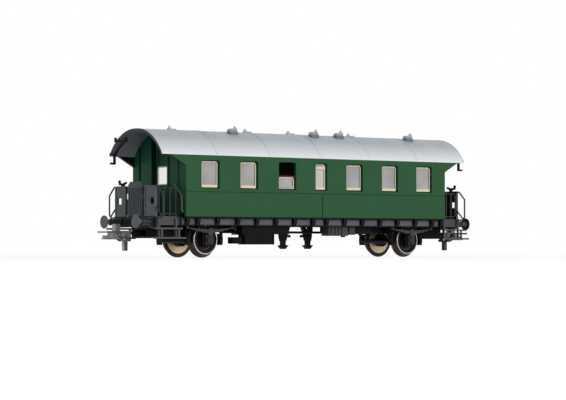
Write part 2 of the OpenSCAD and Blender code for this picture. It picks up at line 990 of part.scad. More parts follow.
// Brake shoe beside the near right wheel with its hanger; side is the side of the axle it stands on
module brake_shoe(side) {
    intersection() {
        translate([axle_x, -shoe_y + shoe_w / 2, axle_z])
            rotate([90, 0, 0])
                difference() {
                    cylinder(r = shoe_out, h = shoe_w, $fn = 96);
                    translate([0, 0, -1]) cylinder(r = shoe_in, h = shoe_w + 2, $fn = 96);
                }
        translate([axle_x + side * shoe_in - shoe_part.x / 2, -shoe_y - shoe_w, axle_z + shoe_from])
            cube([shoe_part.x, 2 * shoe_w, shoe_part.y]);
    }
    hanger_x = axle_x + side * (shoe_out - 0.3);
    block([hanger_x - 0.45, -shoe_y - 0.4, axle_z - 0.6], [hanger_x + 0.45, -shoe_y + 0.4, floor_z]);
}

// Brake rigging round the right axle: four shoes on hangers and two cross beams
module brake_gear() {
    beam_r = 0.85;
    beam_x = shoe_out - 0.5;
    beam_z = axle_z - 0.3;
    color(frame_black)
        for (side = [-1, 1]) {
            both_sides() brake_shoe(side);
            translate([axle_x + side * beam_x, shoe_y, beam_z])
                rotate([90, 0, 0]) cylinder(r = beam_r, h = 2 * shoe_y);
        }
}

module brake_gear_right() {
    brake_gear();
}

module brake_gear_left() {
    rotate([0, 0, 180]) brake_gear();
}

// Boxes under the near side: the battery box on its long carrier, and the brake valve box by the right axle
module underfloor_boxes() {
    outer = -13.6;
    inner = -9.5;
    carrier = [-34.6, -12.8];
    carrier_low = 8.6;
    carrier_top = 12;
    box = [-33.6, -19.9];
    box_bottom = 4.8;
    door = [6, 2.8];
    door_sunk = 0.2;
    end_x = -38.4;
    end_z = [5.1, 7.5];
    hanger_x = [-33.2, -23.6, -14.6];
    valve_x = [21.2, 28.4];
    valve_low = 8.8;
    color(frame_black) {
        difference() {
            union() {
                block([carrier[0], outer + 0.3, carrier_low], [carrier[1], inner, carrier_top]);
                block([box[0], outer, box_bottom], [box[1], inner, carrier_low]);
                block([end_x, outer + 1, end_z[0]], [box[0], inner, end_z[1]]);
                for (x = hanger_x) block([x, -12, carrier_top], [x + 1, -10, floor_z]);
            }
            for (i = [0, 1])
                translate([box[0] + 0.6 + i * (door.x + 0.5), outer - 1, box_bottom + 0.5])
                    cube([door.x, 1 + door_sunk, door.y]);
        }
        block([valve_x[0], -12, valve_low], [valve_x[1], inner, floor_z]);
        translate([valve_x[0] + 3, -10.8, valve_low - 0.6]) cylinder(r = 0.8, h = 1);
    }
}

// Control box under each side: a ribbed cover, a smaller box beside it, a drain plug and three hangers
module equipment_boxes() {
    outer = -13.2;
    inner = -9;
    low = 8.1;
    top = 12;
    large_x = [6.4, 16];
    small_x = [17.6, 20.6];
    rib = [0.6, 0.35];
    rib_x = [7.6, 9.6, 11.2, 12.8];
    hanger = 0.9;
    hanger_x = [7.4, 14, 18.8];
    color(frame_grey)
        half_turn() {
            block([large_x[0], outer, low], [large_x[1], inner, top]);
            for (x = rib_x) block([x, outer - rib.y, low + 0.5], [x + rib.x, outer, top - 0.5]);
            block([small_x[0], outer + 1.2, low + 0.4], [small_x[1], inner, top]);
            block([large_x[1], -10.6, low + 1], [small_x[0], -9.4, top]);
            translate([large_x[1] - 1, -11.4, low - 0.5]) cylinder(r = 0.9, h = 0.5);
            for (x = hanger_x) block([x, -11.6, top], [x + hanger, -10.6, floor_z]);
        }
}

// Brake pull rod along the coach, held by droppers from the floor
module brake_rod() {
    y = -4.6;
    z = 9.4;
    reach = 38.5;
    r = 0.45;
    dropper_x = [-36, -12, 5.2, 9.7, 36];
    color(frame_black) {
        bar([-reach, y, z], [reach, y, z], r);
        for (x = dropper_x) bar([x, y, z], [x, y, floor_z], r - 0.05);
    }
}

// Outline of the right hanger post: anchor foot, stem, body with a side lug, and two arms to the floor
module post_outline() {
    neck_z = 6.1;
    body_z = 8.6;
    stem = 0.78;
    polygon([[-stem, neck_z], [-stem, 4.6], [-2.15, 4.6], [-0.7, 3.1], [0.7, 3.1], [2.15, 4.6], [stem, 4.6],
        [stem, neck_z], [1.2, neck_z + 0.3], [1.6, body_z], [-1.6, body_z], [-1.2, neck_z + 0.3]]);
    translate([-3.1, body_z - 1.1]) square([2, 1]);
    polygon([[-1.6, body_z - 0.4], [-0.2, body_z - 0.4], [-2.4, floor_z], [-3.7, floor_z]]);
    translate([0.2, body_z - 0.4]) square([1.3, floor_z - body_z + 0.4]);
}

// Two anchor-shaped hangers below the middle of the floor, facing each other
module hanger_posts() {
    post_x = 6;
    post_y = -1;
    t = 1.8;
    color(frame_black)
        for (side = [0, 1])
            mirror([side, 0, 0])
                translate([post_x, post_y + t / 2, 0])
                    rotate([90, 0, 0])
                        linear_extrude(t) post_outline();
}

// Two slotted screws that hold the floor to the interior
module frame_screws() {
    head_r = 1.7;
    head_h = 0.7;
    color(steel)
        half_turn()
            translate([screw_x, 0, floor_z])
                difference() {
                    union() {
                        translate([0, 0, -head_h]) cylinder(r = head_r, h = head_h);
                        cylinder(r = screw_r, h = seat_floor - floor_z - 0.1);
                    }
                    translate([-head_r - 1, -0.2, -head_h - 0.2]) cube([2 * head_r + 2, 0.4, 0.5]);
                }
}

pin_r = 1;
bar_low = 8.4;
bar_top = 9.6;
bar_half = 1.5;
eye_r = 2;
pocket_low = 7.1;
pocket_half = 4.8;
pocket_x = 57.3;

// Coupling pocket under the right end of the floor, open in front, with the stud that the drawbar turns on
module coupler_guide() {
    end_x = 71.2;
    clear = 0.4;
    side_t = 0.8;
    color(frame_black) {
        difference() {
            block([pocket_x, -pocket_half, pocket_low], [end_x, pocket_half, floor_z]);
            block([pocket_x - 1, side_t - pocket_half, bar_low - clear],
                [end_x + 1, pocket_half - side_t, bar_top + clear]);
            block([half_body + 0.1, -pocket_half - 1, bar_top + clear + 1],
                [end_x + 1, pocket_half + 1, floor_z + 1]);
        }
        translate([drawbar_pivot_x, 0, bar_low - clear])
            cylinder(r = pin_r, h = bar_top - bar_low + 2 * clear);
    }
}

module coupler_guide_right() {
    coupler_guide();
}

module coupler_guide_left() {
    rotate([0, 0, 180]) coupler_guide();
}

socket_x = 76;

// Close-coupling drawbar with its pivot eye and a lightening slot
module drawbar() {
    color(frame_black)
        difference() {
            union() {
                translate([drawbar_pivot_x, 0, bar_low]) cylinder(r = eye_r, h = bar_top - bar_low);
                block([drawbar_pivot_x, -bar_half, bar_low], [socket_x, bar_half, bar_top]);
            }
            translate([drawbar_pivot_x, 0, bar_low - 1]) cylinder(r = pin_r + play, h = 4);
            block([drawbar_pivot_x + 4, -0.6, bar_low - 1], [socket_x - 2.5, 0.6, bar_top + 1]);
        }
}

module drawbar_right() {
    drawbar();
}

module drawbar_left() {
    rotate([0, 0, 180]) drawbar();
}

head_x = 79.6;
head_front = 84.2;
head_half = 2.2;
head_low = 6.6;
head_top = 9.3;
loop_pivot = [80.6, 8.3];
loop_pin_r = 0.5;

// Sloping front of the coupling head's jaw
module jaw_front() {
    back = head_front - 1.2;
    translate([0, head_half, 0])
        rotate([90, 0, 0])
            linear_extrude(2 * head_half)
                polygon([[back, head_low], [head_front, head_low], [head_front, 7.6], [back, head_top]]);
}

// Coupling head: socket block, broad jaw, upright lug and the hook below
module coupler_head() {
    hook_x = 86.9;
    hook_top = 7.3;
    hook_half = 0.8;
    color(frame_grey)
        difference() {
            union() {
                block([socket_x, -1.6, 7.4], [head_x, 1.6, 9.7]);
                block([head_x, -head_half, head_low], [head_front - 1.2, head_half, head_top]);
                jaw_front();
                block([80.2, -1.1, head_top], [82.3, 1.1, 12.1]);
                block([head_front - 1, -hook_half, head_low], [hook_x, hook_half, hook_top]);
                translate([hook_x, hook_half, hook_top])
                    rotate([90, 0, 0])
                        linear_extrude(2 * hook_half)
                            polygon([[-1.4, 0], [-0.2, 0], [-0.2, 0.8], [-0.6, 0.8]]);
            }
            translate([loop_pivot.x, 5, loop_pivot.y]) rotate([90, 0, 0]) cylinder(r = loop_pin_r, h = 10);
        }
}

module coupler_head_right() {
    coupler_head();
}

module coupler_head_left() {
    rotate([0, 0, 180]) coupler_head();
}

arm_y = 2.55;
arm_t = 0.6;

// Cross pin that carries the loop, headed on both ends
module loop_pin() {
    head_y = arm_y + arm_t + 0.15;
    color(steel)
        translate([loop_pivot.x, 0, loop_pivot.y])
            rotate([90, 0, 0]) {
                cylinder(r = loop_pin_r, h = 2 * head_y, center = true);
                for (side = [-1, 1])
                    translate([0, 0, side * (head_y + 0.15)]) cylinder(r = 0.8, h = 0.3, center = true);
            }
}

module loop_pin_right() {
    loop_pin();
}

module loop_pin_left() {
    rotate([0, 0, 180]) loop_pin();
}

// Lifting loop: two arms on the pin, the front bow and a tail with the uncoupling dropper
module coupler_loop() {
    bow_t = 0.7;
    arm_low = 8.9;
    arm_top = 9.6;
    tail_x = 77.5;
    tail_z = 6.3;
    arm_outer = arm_y + arm_t;
    color(frame_black)
        difference() {
            union() {
                both_sides()
                    translate([0, arm_outer, 0])
                        rotate([90, 0, 0])
                            linear_extrude(arm_t) {
                                translate(loop_pivot) circle(r = 1.1);
                                polygon([loop_pivot, [loop_pivot.x, arm_top], [coupler_reach, arm_top],
                                    [coupler_reach, arm_low], [loop_pivot.x + 1.2, arm_low]]);
                                polygon([loop_pivot + [-0.5, 0.6], loop_pivot + [0.6, -0.6],
                                    [tail_x + 0.5, tail_z - 0.4], [tail_x - 0.5, tail_z - 0.4],
                                    [tail_x - 0.5, tail_z + 0.3]]);
                            }
                block([coupler_reach - bow_t, -arm_y, arm_low], [coupler_reach, arm_y, arm_top]);
                block([tail_x - 0.5, -arm_y, tail_z - 0.4], [tail_x + 0.5, arm_y, tail_z + 0.3]);
                block([tail_x - 0.7, -0.8, 2.5], [tail_x + 0.7, 0.8, tail_z + 0.2]);
            }
            translate([loop_pivot.x, 5, loop_pivot.y])
                rotate([90, 0, 0]) cylinder(r = loop_pin_r + play, h = 10);
        }
}

module coupler_loop_right() {
    coupler_loop();
}

module coupler_loop_left() {
    rotate([0, 0, 180]) coupler_loop();
}

wheel_back = back_to_back / 2;
hub_r = 2.45;
rim_in = 4.7;
web_t = 0.9;

// Steel axle with a journal at each end, drawn at the right axle
module axle() {
    journal_end = box_inner + 1.5;
    shoulder = box_inner - 0.4;
    color(steel)
        translate([axle_x, 0, axle_z])
            rotate([90, 0, 0]) {
                cylinder(r = axle_r, h = 2 * shoulder, center = true);
                cylinder(r = journal_r, h = 2 * journal_end, center = true);
            }
}

module axle_right() {
    axle();
}

module axle_left() {
    rotate([0, 0, 180]) axle();
}

// Turned metal wheel for both sides of the right axle: a back web, a coned tread and a round flange
module wheels() {
    flange_w = 0.9;
    flange_r = tread_r + flange_h;
    color(steel)
        both_sides()
            translate([axle_x, -wheel_back, axle_z])
                rotate([90, 0, 0])
                    rotate_extrude($fn = 96)
                        polygon([[hub_r, 0], [flange_r - 0.3, 0], [flange_r, 0.25], [flange_r, 0.45],
                            [tread_r + 0.15, flange_w], [tread_r - 0.06, wheel_w - 0.25],
                            [tread_r - 0.3, wheel_w], [rim_in, wheel_w], [rim_in, web_t], [hub_r, web_t]]);
}

module wheels_right() {
    wheels();
}

module wheels_left() {
    rotate([0, 0, 180]) wheels();
}

// Dished plastic wheel centre: an insulating bush on the axle and a disc that fills the rim
module wheel_centres() {
    boss = 2.4;
    color(frame_black)
        both_sides()
            translate([axle_x, -wheel_back, axle_z])
                rotate([90, 0, 0])
                    rotate_extrude($fn = 96)
                        polygon([[axle_r, -boss], [hub_r, -boss], [hub_r, web_t], [rim_in, web_t],
                            [rim_in, wheel_w - 0.5], [rim_in - 0.5, wheel_w - 0.5], [3.3, web_t + 0.5],
                            [hub_r + 0.2, web_t + 0.6], [hub_r, wheel_w + 0.1], [axle_r, wheel_w + 0.1]]);
}

module wheel_centres_right() {
    wheel_centres();
}

module wheel_centres_left() {
    rotate([0, 0, 180]) wheel_centres();
}

body_shell();
roof();
roof_vents();
lamp_brackets();
window_frames_near();
window_frames_far();
glazing_near();
glazing_far();
end_doors();
door_window_frames();
door_panes();
seat_insert();
ballast_plate();
floor_pan();
solebar_near();
solebar_far();
headstocks();
platform_left();
platform_right();
inner_sills();
end_railing_left();
end_railing_right();
gangway_plates();
side_gates();
corner_handrails();
entrance_handrails();
brake_columns();
brake_cranks();
steps_left();
steps_right();
buffer_housings();
buffer_heads();
axle_guards_left();
axle_guards_right();
leaf_springs();
axleboxes();
axle_bearings();
brake_gear_left();
brake_gear_right();
underfloor_boxes();
equipment_boxes();
brake_rod();
hanger_posts();
coupler_guide_left();
coupler_guide_right();
frame_screws();
axle_left();
axle_right();
wheels_left();
wheels_right();
wheel_centres_left();
wheel_centres_right();
drawbar_left();
drawbar_right();
coupler_head_left();
coupler_head_right();
loop_pin_left();
loop_pin_right();
coupler_loop_left();
coupler_loop_right();
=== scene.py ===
import math

import bmesh
import bpy
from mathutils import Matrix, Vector


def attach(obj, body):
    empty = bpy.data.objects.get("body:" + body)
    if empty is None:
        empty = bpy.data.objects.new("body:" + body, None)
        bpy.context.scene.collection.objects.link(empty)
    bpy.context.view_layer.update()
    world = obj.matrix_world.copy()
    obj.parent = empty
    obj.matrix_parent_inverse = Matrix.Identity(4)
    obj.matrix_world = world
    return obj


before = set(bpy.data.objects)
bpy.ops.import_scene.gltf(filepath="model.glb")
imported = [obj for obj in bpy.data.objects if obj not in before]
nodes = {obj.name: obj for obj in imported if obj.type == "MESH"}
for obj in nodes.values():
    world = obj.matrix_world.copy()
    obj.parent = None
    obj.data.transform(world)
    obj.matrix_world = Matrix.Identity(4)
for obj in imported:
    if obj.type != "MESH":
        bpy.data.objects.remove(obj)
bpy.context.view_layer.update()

MM = 0.001

# Places on the part, in millimetres of the shared frame.
# A pair gives the two edges between which a finish fades.
AXLE_X = 48.85
AXLE_Z = 6.5
SIDE_Y = 16.9
WEB_Y = 14.6
# Edges of painted light and shade on the solebar, the gangway straps, the window flanges and the middle
# window
BRACKET_FACE_Y = (14.62, 14.66)
STRAP_Y = (4.42, 4.46)
WINDOW_RIM_Y = (15.96, 16.0)
MIDDLE_WINDOW_X = (4.0, 5.0)
LOWERED_SASH_X = -16.25
LOWERED_PANE_HALF = (3.2, 3.28)
LOWERED_PANE_TOP = (26.38, 26.42)
NEAR_SIDE_Y = (-1.0, 1.0)
# Height below which the vents are painted shade
VENT_SHADE_Z = (46.2, 47.5)
WHEEL_BACK_Y = (7.22, 7.26)
WHEEL_RIM_Y = (9.9, 9.94)
WHEEL_DISC_R = (4.95, 5.05)
# Where the painted highlight ring on the wheels' outer faces begins
WHEEL_HIGHLIGHT_R = (4.98, 5.06)
# Edges of the painted highlight ring on the wheel centres
CENTRE_HIGHLIGHT_INNER_R = (3.38, 3.46)
CENTRE_HIGHLIGHT_OUTER_R = (3.66, 3.74)
GRAIN_DEPTH = 0.012

# How far a face looks along an axis, where one colour gives way to another; the first three bound painted
# light and shade, the last the roof's underside
END_FACING = (0.7, 0.9)
BACK_FACING = (-0.9, -0.6)
RIDGE_FACING = (0.48, 0.85)
UNDER_FACING = (-0.3, -0.1)


# Camera, fitted to the photo

AZIMUTH = math.radians(-38.177)
ELEVATION = math.radians(-1.201)
DISTANCE = 0.84603
TARGET = Vector((-0.005122, 0.0, 0.021739))
SENSOR_WIDTH = 36
FOCAL_LENGTH = 141.64
CLIP_START = 0.01

back = Vector((
    math.sin(AZIMUTH) * math.cos(ELEVATION),
    -math.cos(AZIMUTH) * math.cos(ELEVATION),
    math.sin(ELEVATION),
))
camera_data = bpy.data.cameras.new("camera")
camera_data.sensor_width = SENSOR_WIDTH
camera_data.lens = FOCAL_LENGTH
camera_data.clip_start = CLIP_START
camera = bpy.data.objects.new("camera", camera_data)
camera.location = TARGET + back * DISTANCE
camera.rotation_euler = (-back).to_track_quat("-Z", "Y").to_euler()
bpy.context.collection.objects.link(camera)
bpy.context.scene.camera = camera


# Node building

def srgb(*rgb):
    """Linear colour of an 8-bit display colour."""
    return tuple(v / 3294.6 if v <= 10 else ((v / 255 + 0.055) / 1.055) ** 2.4 for v in rgb)


def scaled(colour, factor):
    return tuple(min(1.0, c * factor) for c in colour)


def add_node(tree, kind, inputs=None, **settings):
    """New shader node; each input is linked to an output or set to a value."""
    node = tree.nodes.new("ShaderNode" + kind)
    for setting, value in settings.items():
        setattr(node, setting, value)
    for socket, value in (inputs or {}).items():
        if isinstance(value, bpy.types.NodeSocket):
            tree.links.new(value, node.inputs[socket])
        else:
            node.inputs[socket].default_value = value
    return node


class Finish:
    """A Principled material that is put together node by node in object coordinates."""

    def __init__(self, name, **sockets):
        self.mat = bpy.data.materials.new(name)
        self.mat.use_nodes = True
        self.tree = self.mat.node_tree
        self.shader = self.tree.nodes["Principled BSDF"]
        self.coord = self.node("TexCoord").outputs["Object"]
        for socket, value in sockets.items():
            self.shader.inputs[socket.replace("_", " ")].default_value = value

    def node(self, kind, inputs=None, **settings):
        return add_node(self.tree, kind, inputs, **settings)

    def drive(self, socket, output):
        """Link an output to an input of the shader."""
        self.tree.links.new(output, self.shader.inputs[socket])

    # Numbers

    def math(self, operation, *values):
        return self.node("Math", dict(enumerate(values)), operation=operation).outputs[0]

    def noise(self, scale, detail=3.0, stretch=(1, 1, 1)):
        mapping = self.node("Mapping", {"Vector": self.coord, "Scale": stretch})
        inputs = {"Vector": mapping.outputs["Vector"], "Scale": scale, "Detail": detail}
        return self.node("TexNoise", inputs).outputs["Fac"]

    def ranged(self, source, low, high, from_low=0.3, from_high=0.7):
        """A number taken from one range to another; the default is the range that noise mostly has."""
        inputs = {"Value": source, "From Min": from_low, "From Max": from_high, "To Min": low, "To Max": high}
        return self.node("MapRange", inputs).outputs["Result"]

    def beyond(self, source, edges):
        """1 past a pair of edges and 0 before it."""
        return self.ranged(source, 0, 1, edges[0] * MM, edges[1] * MM)

    def before(self, source, edges):
        """1 before a pair of edges and 0 past it."""
        return self.ranged(source, 1, 0, edges[0] * MM, edges[1] * MM)

    # Places and directions

    def place(self, axis):
        return self.node("SeparateXYZ", {"Vector": self.coord}).outputs[axis]

    def aside(self, axis, middle=0.0):
        """Distance from a plane across an axis, in metres."""
        return self.math("ABSOLUTE", self.math("SUBTRACT", self.place(axis), middle * MM))

    def from_axle(self):
        """Distance from the line of the nearer axle, in metres."""
        along = self.math("SUBTRACT", self.aside("X"), AXLE_X * MM)
        up = self.math("SUBTRACT", self.place("Z"), AXLE_Z * MM)
        joined = self.node("CombineXYZ", {"X": along, "Z": up})
        return self.node("VectorMath", {0: joined.outputs[0]}, operation="LENGTH").outputs["Value"]

    def facing(self, axis):
        """How far a face looks along an axis, from -1 to 1."""
        normal = self.node("NewGeometry").outputs["Normal"]
        return self.node("SeparateXYZ", {"Vector": normal}).outputs[axis]

    def endwise(self):
        """1 on faces that look along the coach, whichever way."""
        return self.ranged(self.math("ABSOLUTE", self.facing("X")), 0, 1, *END_FACING)

    def inward(self, axis):
        """1 on faces that look along an axis at the middle of the coach."""
        outward = self.math("MULTIPLY", self.math("SIGN", self.place(axis)), self.facing(axis))
        return self.ranged(outward, 1, 0, *BACK_FACING)

    # Surface

    def mixed(self, factor, first, second):
        """Mix of two colours or colour outputs."""
        colours = [(*c, 1) if isinstance(c, tuple) else c for c in (first, second)]
        inputs = {"Factor": factor, 6: colours[0], 7: colours[1]}
        return self.node("Mix", inputs, data_type="RGBA").outputs[2]

    def mottled(self, noise, first, second):
        return self.mixed(self.ranged(noise, 0, 1), first, second)

    def grained(self, rough_low, rough_high, scale=2600, strength=0.5):
        """Fine grain of the moulding in gloss and surface."""
        fine = self.noise(scale, 2)
        self.drive("Roughness", self.ranged(fine, rough_low, rough_high))
        bump = self.node("Bump", {"Height": fine, "Strength": strength, "Distance": GRAIN_DEPTH * MM})
        self.drive("Normal", bump.outputs["Normal"])

    def worn(self, noise, rough_low, rough_high):
        """Gloss that drifts with a noise."""
        self.drive("Roughness", self.ranged(noise, rough_low, rough_high))


# Materials

def painted(name, colour, rough=0.45, vary=0.07, gloss=0.22, end_light_and_shade=None, inward_shade=None, inside_face_colour=None):
    """Sprayed or moulded plastic with a slow drift of colour. Up to three more colours go to faces that look
    along the coach, to those that look back at its middle and to those that look across it from either side:
    painted highlight on the couplings' end faces, painted shade everywhere else."""
    finish = Finish(name, Specular_IOR_Level=gloss)
    tone = finish.mottled(finish.noise(70, 4), scaled(colour, 1 - vary), scaled(colour, 1 + vary))
    # Faces that look along the coach: painted shade on the body, painted highlight on the couplings
    if end_light_and_shade:
        tone = finish.mixed(finish.endwise(), tone, end_light_and_shade)
    # Faces that look back at the middle of the coach: painted shade
    if inward_shade:
        tone = finish.mixed(finish.inward("X"), tone, inward_shade)
    # Faces that look across the coach from inside: painted shade on the body
    if inside_face_colour:
        tone = finish.mixed(finish.inward("Y"), tone, inside_face_colour)
    finish.drive("Base Color", tone)
    finish.grained(rough - 0.06, rough + 0.06)
    return finish.mat


def polished(name, colour, rough):
    """Turned metal with tool marks in its gloss."""
    finish = Finish(name, Metallic=1.0)
    drift = finish.noise(900, 3)
    finish.drive("Base Color", finish.mottled(drift, scaled(colour, 0.9), scaled(colour, 1.06)))
    finish.worn(drift, rough - 0.05, rough + 0.07)
    return finish.mat


def window_frame_material(name):
    """Cream rim on a dark brown flange, told apart by how far out a face stands; the dark brown is painted
    shade round the frame. The foot of the lowered sash on the near side shows its pane."""
    finish = Finish(name, Specular_IOR_Level=0.18)
    drift = finish.noise(300, 3)
    face = finish.mottled(drift, srgb(242, 232, 196), srgb(249, 241, 208))
    pane = finish.before(finish.aside("X", LOWERED_SASH_X), LOWERED_PANE_HALF)
    for axis, edges in (("Y", NEAR_SIDE_Y), ("Z", LOWERED_PANE_TOP)):
        pane = finish.math("MULTIPLY", pane, finish.before(finish.place(axis), edges))
    face = finish.mixed(pane, face, srgb(186, 182, 178))
    front = finish.beyond(finish.aside("Y"), WINDOW_RIM_Y)
    # Faces set back from the rim are painted dark brown as shade
    finish.drive("Base Color", finish.mixed(front, srgb(34, 25, 14), face))
    finish.worn(drift, 0.38, 0.5)
    return finish.mat


def solebar_material(name):
    """Grey web between dark brackets and flanges. The part is dark plastic all over: the grey of the web is
    painted light, and the dark bracket faces are partly painted shade.
    """
    finish = Finish(name, Specular_IOR_Level=0.11)
    grey = finish.mottled(finish.noise(90, 4), srgb(94, 97, 101), srgb(112, 115, 119))
    outer = finish.beyond(finish.aside("Y"), BRACKET_FACE_Y)
    # Painted light on the web, dark on the bracket faces and flanges, partly painted shade
    finish.drive("Base Color", finish.mixed(outer, grey, srgb(11, 11, 12)))
    finish.grained(0.42, 0.55)
    return finish.mat


def gangway_material(name):
    """Grey plate with dark straps beside it; the dark of the straps is painted shade."""
    finish = Finish(name, Specular_IOR_Level=0.14)
    grey = finish.mottled(finish.noise(70, 4), srgb(74, 79, 83), srgb(88, 93, 97))
    strap = finish.beyond(finish.aside("Y"), STRAP_Y)
    # Straps painted dark as shade
    finish.drive("Base Color", finish.mixed(strap, grey, srgb(16, 17, 18)))
    finish.grained(0.38, 0.5)
    return finish.mat


def headstock_material(name):
    """Grey beam with painted shade, black, on its front and back faces."""
    finish = Finish(name, Specular_IOR_Level=0.15)
    grey = finish.mottled(finish.noise(70, 4), srgb(72, 75, 79), srgb(86, 89, 93))
    # Front and back faces painted black as shade
    finish.drive("Base Color", finish.mixed(finish.endwise(), grey, srgb(22, 23, 25)))
    finish.grained(0.4, 0.52)
    return finish.mat


def roof_material(name):
    """Silver paint with painted shade towards the ridge and on the end faces, over a grey underside."""
    finish = Finish(name, Specular_IOR_Level=0.18)
    streak = finish.noise(140, 3, stretch=(1, 0.12, 0.12))
    upward = finish.facing("Z")
    silver = finish.mottled(finish.noise(60, 4), srgb(242, 245, 249), srgb(250, 251, 253))
    # Painted shade on the faces that look up towards the ridge
    ridge_shade = finish.mottled(streak, srgb(178, 186, 191), srgb(188, 195, 200))
    outside = finish.mixed(finish.ranged(upward, 0, 1, *RIDGE_FACING), silver, ridge_shade)
    # End faces painted dark as shade
    outside = finish.mixed(finish.endwise(), outside, srgb(62, 66, 70))
    inside_face_colour = finish.mottled(streak, srgb(148, 157, 165), srgb(160, 168, 175))
    under = finish.ranged(upward, 1, 0, *UNDER_FACING)
    finish.drive("Base Color", finish.mixed(under, outside, inside_face_colour))
    finish.grained(0.4, 0.52, scale=3000, strength=0.4)
    return finish.mat


def vent_material(name):
    """Silver paint that is darker towards the roof by painted shade."""
    finish = Finish(name, Specular_IOR_Level=0.18)
    drift = finish.noise(400, 3)
    silver = finish.mottled(drift, srgb(176, 181, 187), srgb(200, 205, 210))
    # The foot of the vent is painted shade
    above_foot_shade = finish.beyond(finish.place("Z"), VENT_SHADE_Z)
    finish.drive("Base Color", finish.mixed(above_foot_shade, srgb(118, 123, 128), silver))
    finish.worn(drift, 0.4, 0.52)
    return finish.mat


def wheel_material(name):
    """Tan discs, a painted highlight ring on the outer side faces, dark tread and flange."""
    finish = Finish(name, Metallic=0.6, Specular_IOR_Level=0.2)
    drift = finish.noise(60, 2)
    place = finish.aside("Y")
    radius = finish.from_axle()
    tan = finish.mottled(drift, srgb(220, 197, 162), srgb(236, 214, 180))
    back_face = finish.mixed(finish.before(radius, WHEEL_DISC_R), srgb(48, 43, 40), tan)
    # Painted highlight: a bright ring on the outer face of the rim
    rim_face_highlight = finish.mixed(finish.beyond(radius, WHEEL_HIGHLIGHT_R), srgb(40, 36, 34), srgb(212, 203, 190))
    tone = finish.mixed(finish.before(place, WHEEL_BACK_Y), srgb(60, 54, 50), back_face)
    finish.drive("Base Color", finish.mixed(finish.beyond(place, WHEEL_RIM_Y), tone, rim_face_highlight))
    finish.worn(drift, 0.3, 0.42)
    return finish.mat


def wheel_centre_material(name):
    """Black plastic dish with a painted highlight on its edge."""
    finish = Finish(name, Specular_IOR_Level=0.16)
    drift = finish.noise(90, 3)
    black = finish.mottled(drift, srgb(22, 21, 21), srgb(30, 28, 28))
    radius = finish.from_axle()
    # Painted highlight: a light ring on the edge of the dish
    inside = finish.beyond(radius, CENTRE_HIGHLIGHT_INNER_R)
    edge = finish.math("MULTIPLY", inside, finish.before(radius, CENTRE_HIGHLIGHT_OUTER_R))
    finish.drive("Base Color", finish.mixed(edge, black, srgb(112, 104, 98)))
    finish.worn(drift, 0.42, 0.55)
    return finish.mat


def glazing_material(name):
    """Milky clear plastic; the middle window is lighter by painted light."""
    finish = Finish(name, Roughness=0.12, Specular_IOR_Level=0.28)
    pane = finish.mottled(finish.noise(120, 2), srgb(174, 171, 171), srgb(198, 195, 195))
    # Painted light: the middle window is lighter
    middle = finish.before(finish.aside("X"), MIDDLE_WINDOW_X)
    finish.drive("Base Color", finish.mixed(middle, pane, srgb(222, 220, 212)))
    return finish.mat


def door_pane_material(name):
    """Clear plastic that glows with painted light, standing in for daylight behind it."""
    finish = Finish(name, Roughness=0.12, Specular_IOR_Level=0.28, Emission_Strength=0.52)
    tone = finish.mottled(finish.noise(120, 2), srgb(240, 239, 236), srgb(250, 249, 246))
    finish.drive("Base Color", tone)
    # The pane glows: painted light
    finish.drive("Emission Color", tone)
    return finish.mat


PAINTS = {
    # The body's end faces and window reveals are painted shade, and so are its faces that look in across the
    # coach
    "body_green": dict(
        colour=srgb(47, 92, 59), vary=0.05, gloss=0.1, end_light_and_shade=srgb(26, 75, 54), inside_face_colour=srgb(4, 32, 18)
    ),
    "door_cream": dict(colour=srgb(232, 228, 212), rough=0.4, vary=0.03),
    "seat_brown": dict(colour=srgb(120, 88, 60), rough=0.55),
    # Faces of the railing that look back at the middle of the coach are painted shade
    "railing_grey": dict(colour=srgb(86, 91, 95), rough=0.42, vary=0.12, inward_shade=srgb(26, 27, 28)),
    "gate_grey": dict(colour=srgb(50, 54, 54), rough=0.42, vary=0.12),
    # On coupler heads, pins and loops the faces that look along the coach are painted highlight, those that
    # look back at the middle painted shade
    "coupler_grey": dict(
        colour=srgb(114, 117, 119), rough=0.4, vary=0.14, end_light_and_shade=srgb(188, 193, 196), inward_shade=srgb(38, 40, 41)
    ),
    "loop_grey": dict(
        colour=srgb(72, 74, 75), rough=0.4, vary=0.14, end_light_and_shade=srgb(200, 203, 203), inward_shade=srgb(34, 35, 36)
    ),
    "frame_grey": dict(colour=srgb(72, 75, 79), vary=0.1),
    "underframe_black": dict(colour=srgb(9, 9, 10), rough=0.5, vary=0.3, gloss=0.075),
    # Faces of the buffer heads and steps that look back at the middle of the coach are painted shade
    "buffer_grey": dict(colour=srgb(98, 104, 106), rough=0.42, vary=0.12, inward_shade=srgb(10, 10, 11)),
    "step_grey": dict(colour=srgb(74, 78, 80), rough=0.42, vary=0.12, inward_shade=srgb(30, 31, 32)),
    "box_grey": dict(colour=srgb(54, 56, 58), vary=0.15, gloss=0.25),
    "axlebox_grey": dict(colour=srgb(38, 40, 42), vary=0.2, gloss=0.19),
    "spring_grey": dict(colour=srgb(62, 65, 68), vary=0.2, gloss=0.17),
}
SPECIAL = {
    "roof_silver": roof_material,
    "vent_silver": vent_material,
    "window_cream": window_frame_material,
    "glazing": glazing_material,
    "door_pane": door_pane_material,
    "tyre_bright": wheel_material,
    "wheel_centre_black": wheel_centre_material,
    "gangway_grey": gangway_material,
    "headstock_grey": headstock_material,
    "solebar_grey": solebar_material,
}
materials = {name: painted(name, **paint) for name, paint in PAINTS.items()}
materials.update({name: build(name) for name, build in SPECIAL.items()})
materials["steel"] = polished("steel", srgb(150, 150, 152), 0.35)
materials["bearing_brass"] = polished("bearing_brass", srgb(205, 165, 90), 0.3)

